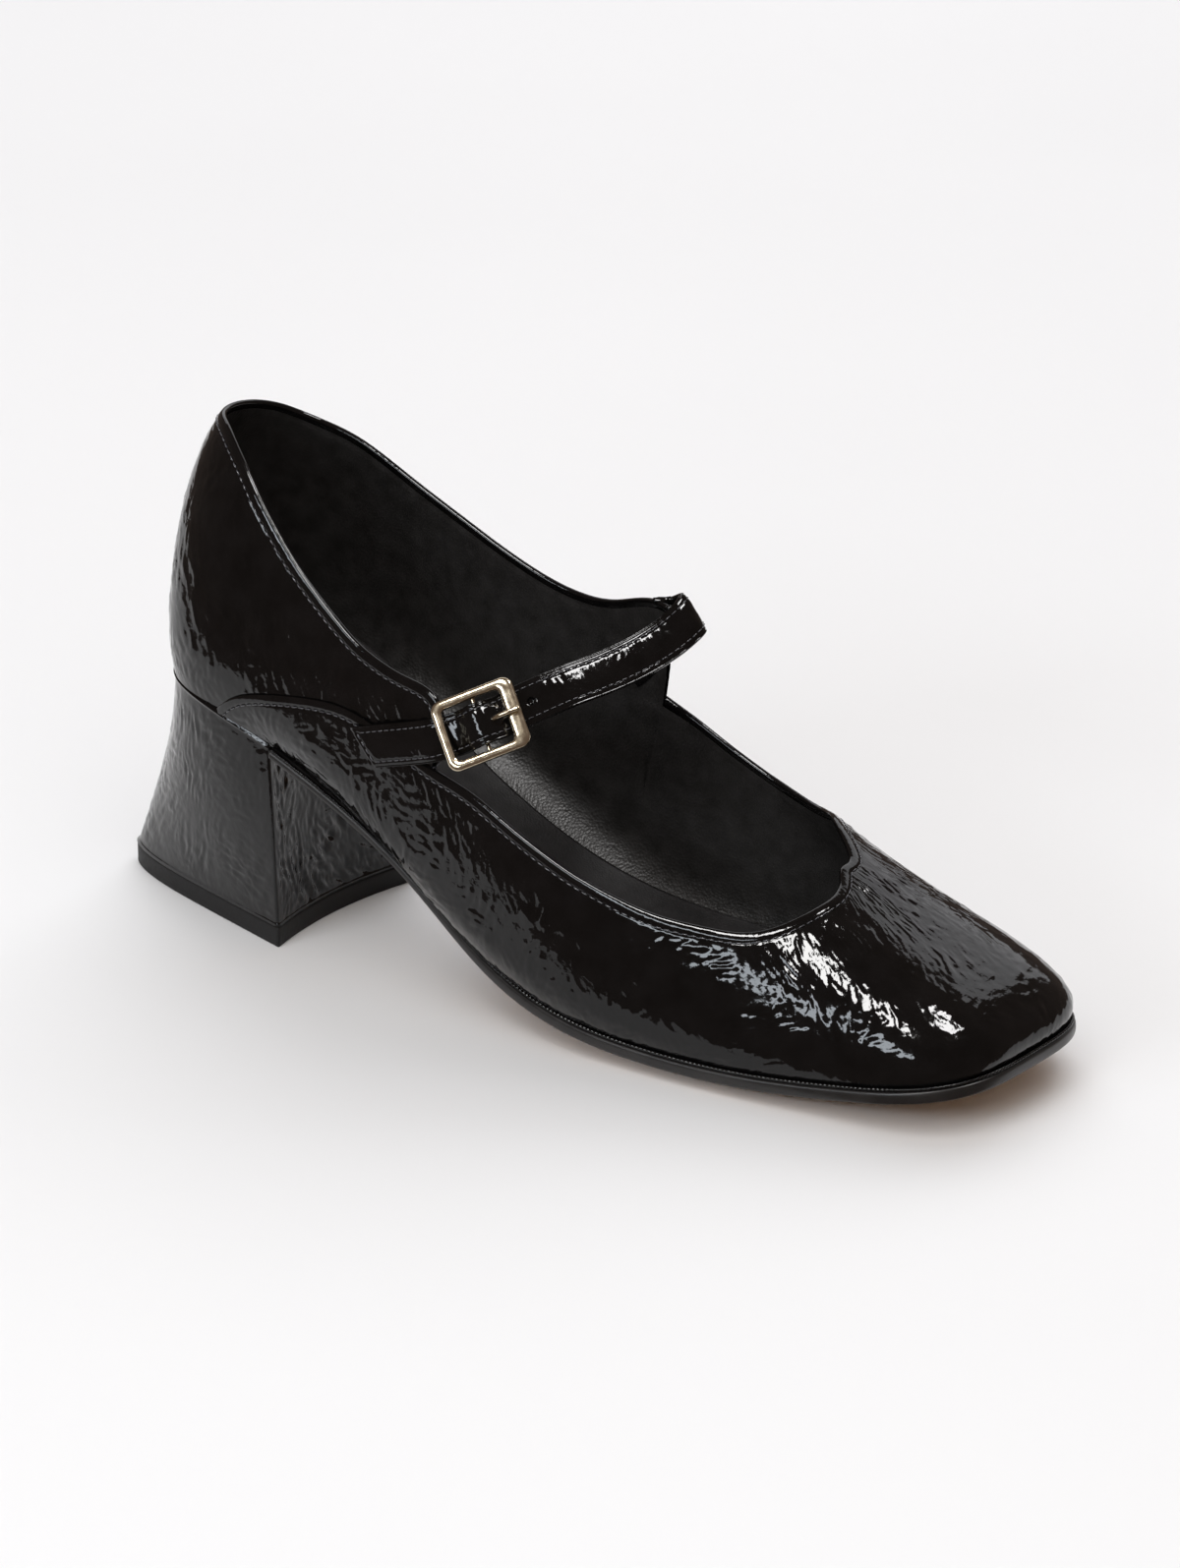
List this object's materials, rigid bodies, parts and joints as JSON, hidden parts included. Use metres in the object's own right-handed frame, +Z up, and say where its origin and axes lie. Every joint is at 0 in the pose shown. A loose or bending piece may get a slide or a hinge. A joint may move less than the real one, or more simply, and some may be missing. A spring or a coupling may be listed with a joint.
{
  "type": "mary jane shoe",
  "caption": "Block-heel mary jane pump for the right foot: black crinkled patent upper, square toe, open throat, instep strap with a rectangular metal buckle.",
  "frame": {"origin": "on the floor, on the ground face of the top lift, under the middle of the heel", "axes": "+X forward towards the toe, +Y towards the inner (medial) side of the foot, +Z up"},
  "size_m": [0.2652, 0.0791, 0.1263],
  "materials": {
    "patent": "high-gloss black patent leather with a fine irregular crinkle",
    "lining": "soft fine-grained black leather, satin",
    "sole": "black painted and polished edge over a smooth tan underside",
    "lift_rubber": "matte black rubber",
    "buckle_metal": "polished pale gold plating"
  },
  "bodies": {
    "root": {"upper": "patent", "insole": "lining", "outsole": "sole", "heel": "patent", "top_lift": "lift_rubber", "strap": "patent", "buckle_frame": "buckle_metal", "buckle_prong": "buckle_metal"}
  },
  "joints": []
}
